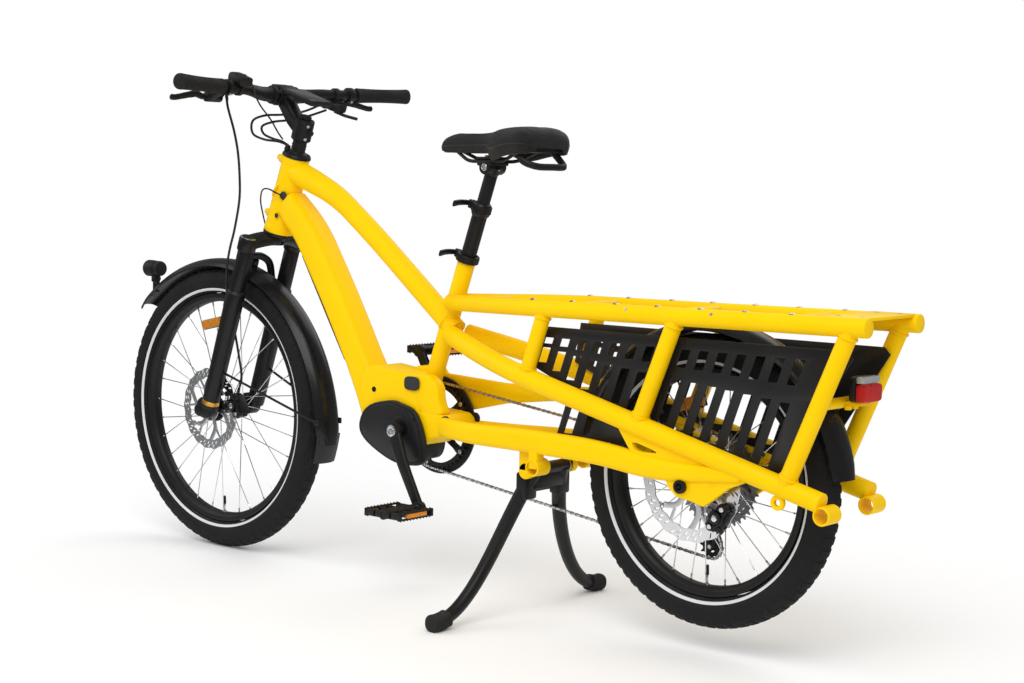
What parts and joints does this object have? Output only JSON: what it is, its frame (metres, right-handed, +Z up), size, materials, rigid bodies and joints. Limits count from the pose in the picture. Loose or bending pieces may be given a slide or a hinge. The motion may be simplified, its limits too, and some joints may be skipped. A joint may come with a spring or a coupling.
{
  "type": "longtail cargo bicycle",
  "caption": "Longtail cargo bicycle with a motor at the cranks, a long rear rack with slotted side panels, a telescoping seat post and a wide two-legged stand.",
  "frame": {"origin": "middle of the bounding box on the ground", "axes": "+X forward, +Y to the rider's left, +Z up"},
  "size_m": [1.961, 0.6488, 1.0359],
  "materials": {
    "paint": "gloss",
    "black_metal": "satin",
    "black_plastic": "matte",
    "fender_gloss": "gloss",
    "tyre": "matte",
    "steel": "satin",
    "grip_rubber": "matte",
    "saddle_cover": "matte",
    "lamp_lens": "gloss"
  },
  "bodies": {
    "frame": {"front_frame": "paint", "rack_frame": "paint", "side_frame_left": "paint", "side_frame_right": "paint", "battery": "black_plastic", "drive_unit": "black_plastic", "side_panel_left": "black_metal", "side_panel_right": "black_metal", "rear_fender": "fender_gloss", "tail_lamp": "lamp_lens", "rear_caliper": "black_metal", "derailleur": "black_metal", "seat_clamp": "black_metal", "chain": "steel"},
    "port_flap": {"charge_port_cover": "black_plastic"},
    "steering": {"fork_crown": "black_metal", "stem": "black_metal", "handlebar": "black_metal", "grip_left": "grip_rubber", "grip_right": "grip_rubber", "brake_master_left": "black_metal", "brake_master_right": "black_metal", "shifter": "black_plastic", "display": "black_plastic", "remote": "black_plastic", "bar_cables": "grip_rubber", "front_brake_hose": "grip_rubber"},
    "sliders": {"fork_lowers": "black_metal", "front_caliper": "black_metal", "front_fender": "fender_gloss"},
    "lamp": {"headlamp": "black_plastic"},
    "front_wheel": {"front_tyre": "tyre", "front_rim": "black_metal", "front_spokes": "steel"},
    "rear_wheel": {"rear_tyre": "tyre", "rear_rim": "black_metal", "rear_spokes": "steel"},
    "sprockets": {"cassette": "steel"},
    "cage": {"derailleur_cage": "black_metal"},
    "upper_pulley": {"guide_pulley": "black_plastic"},
    "lower_pulley": {"tension_pulley": "black_plastic"},
    "cranks": {"chainring": "black_metal", "crank_arm_left": "black_metal", "crank_arm_right": "black_metal"},
    "left_pedal": {"pedal_left": "black_plastic"},
    "right_pedal": {"pedal_right": "black_plastic"},
    "left_brake": {"brake_lever_left": "black_metal"},
    "right_brake": {"brake_lever_right": "black_metal"},
    "shift_trigger": {"shifter_lever": "black_plastic"},
    "mode_button": {"remote_button": "black_plastic"},
    "lower_post": {"seatpost_lower": "black_metal"},
    "upper_post": {"seatpost_upper": "black_metal", "saddle": "saddle_cover", "saddle_base": "black_plastic"},
    "frame_clamp_lever": {"seat_clamp_lever": "black_metal"},
    "post_lever": {"post_clamp_lever": "black_metal"},
    "stand": {"stand_legs": "black_metal", "stand_foot_left": "grip_rubber", "stand_foot_right": "grip_rubber"}
  },
  "joints": [
    {"name": "steering_turn", "type": "hinge", "parent": "frame", "child": "steering", "pos_m": [0.4953, 0, 0.706], "axis": [-0.3207, 0, 0.9472], "range_deg": [-60, 60]},
    {"name": "fork_travel", "type": "slide", "parent": "steering", "child": "sliders", "axis": [-0.3207, 0, 0.9472], "range_m": [0, 0.06], "stiffness_N_per_m": 5000, "springref_m": -0.02, "deforming": ["front_brake_hose"]},
    {"name": "front_wheel_spin", "type": "hinge", "parent": "sliders", "child": "front_wheel", "pos_m": [0.6699, 0, 0.3105], "axis": [0, 1, 0], "continuous": true},
    {"name": "rear_wheel_spin", "type": "hinge", "parent": "frame", "child": "rear_wheel", "pos_m": [-0.6288, 0, 0.3022], "axis": [0, 1, 0], "continuous": true},
    {"name": "crank_spin", "type": "hinge", "parent": "frame", "child": "cranks", "pos_m": [0.0732, 0, 0.326], "axis": [0, 1, 0], "continuous": true, "deforming": ["chain"]},
    {"name": "cassette_spin", "type": "hinge", "parent": "frame", "child": "sprockets", "pos_m": [-0.6288, 0, 0.3022], "axis": [0, 1, 0], "continuous": true},
    {"name": "cage_swing", "type": "hinge", "parent": "frame", "child": "cage", "pos_m": [-0.6168, 0, 0.243], "axis": [0, 1, 0], "range_deg": [-40, 15], "stiffness_Nm_per_rad": 1},
    {"name": "guide_pulley_spin", "type": "hinge", "parent": "cage", "child": "upper_pulley", "pos_m": [-0.6168, 0, 0.243], "axis": [0, 1, 0], "continuous": true},
    {"name": "tension_pulley_spin", "type": "hinge", "parent": "cage", "child": "lower_pulley", "pos_m": [-0.59785, 0, 0.1734], "axis": [0, 1, 0], "continuous": true},
    {"name": "left_pedal_spin", "type": "hinge", "parent": "cranks", "child": "left_pedal", "pos_m": [-0.0115, 0, 0.1838], "axis": [0, 1, 0], "continuous": true},
    {"name": "right_pedal_spin", "type": "hinge", "parent": "cranks", "child": "right_pedal", "pos_m": [0.1579, 0, 0.4682], "axis": [0, 1, 0], "continuous": true},
    {"name": "left_brake_pull", "type": "hinge", "parent": "steering", "child": "left_brake", "pos_m": [0.51517, 0.198, 0.98404], "axis": [0.3355, 0, 0.942], "range_deg": [0, 22], "stiffness_Nm_per_rad": 1.5, "springref_deg": -5.73},
    {"name": "right_brake_pull", "type": "hinge", "parent": "steering", "child": "right_brake", "pos_m": [0.51517, -0.198, 0.98404], "axis": [-0.3355, 0, -0.942], "range_deg": [0, 22], "stiffness_Nm_per_rad": 1.5, "springref_deg": -5.73},
    {"name": "shift_push", "type": "hinge", "parent": "steering", "child": "shift_trigger", "pos_m": [0.47288, -0.142, 0.9655], "axis": [0.3207, 0, -0.9472], "range_deg": [0, 25], "stiffness_Nm_per_rad": 0.5, "springref_deg": -5.73},
    {"name": "button_press", "type": "slide", "parent": "steering", "child": "mode_button", "axis": [0.3207, 0, -0.9472], "range_m": [0, 0.0025], "stiffness_N_per_m": 400, "springref_m": -0.002},
    {"name": "seat_height", "type": "slide", "parent": "frame", "child": "lower_post", "axis": [-0.3335, 0, 0.9427], "range_m": [-0.06, 0.04]},
    {"name": "saddle_height", "type": "slide", "parent": "lower_post", "child": "upper_post", "axis": [-0.3335, 0, 0.9427], "range_m": [-0.05, 0.04]},
    {"name": "frame_clamp_turn", "type": "hinge", "parent": "frame", "child": "frame_clamp_lever", "pos_m": [-0.01822, -0.006, 0.68073], "axis": [0.3335, 0, -0.9427], "range_deg": [0, 110]},
    {"name": "post_clamp_turn", "type": "hinge", "parent": "lower_post", "child": "post_lever", "pos_m": [-0.0524, -0.006, 0.77736], "axis": [0.3335, 0, -0.9427], "range_deg": [0, 110]},
    {"name": "stand_swing", "type": "hinge", "parent": "frame", "child": "stand", "pos_m": [-0.2638, 0, 0.284], "axis": [0, 1, 0], "range_deg": [0, 80]},
    {"name": "lamp_tilt", "type": "hinge", "parent": "sliders", "child": "lamp", "pos_m": [0.9122, 0, 0.585], "axis": [0, 1, 0], "range_deg": [-15, 15]},
    {"name": "flap_open", "type": "hinge", "parent": "frame", "child": "port_flap", "pos_m": [0.0542, 0.0443, 0.4328], "axis": [1, 0, 0], "range_deg": [0, 110]}
  ],
  "couplings": [
    {"joint": "cassette_spin", "follows": "crank_spin", "ratio": 3.3846},
    {"joint": "guide_pulley_spin", "follows": "crank_spin", "ratio": -4},
    {"joint": "tension_pulley_spin", "follows": "crank_spin", "ratio": 4}
  ]
}
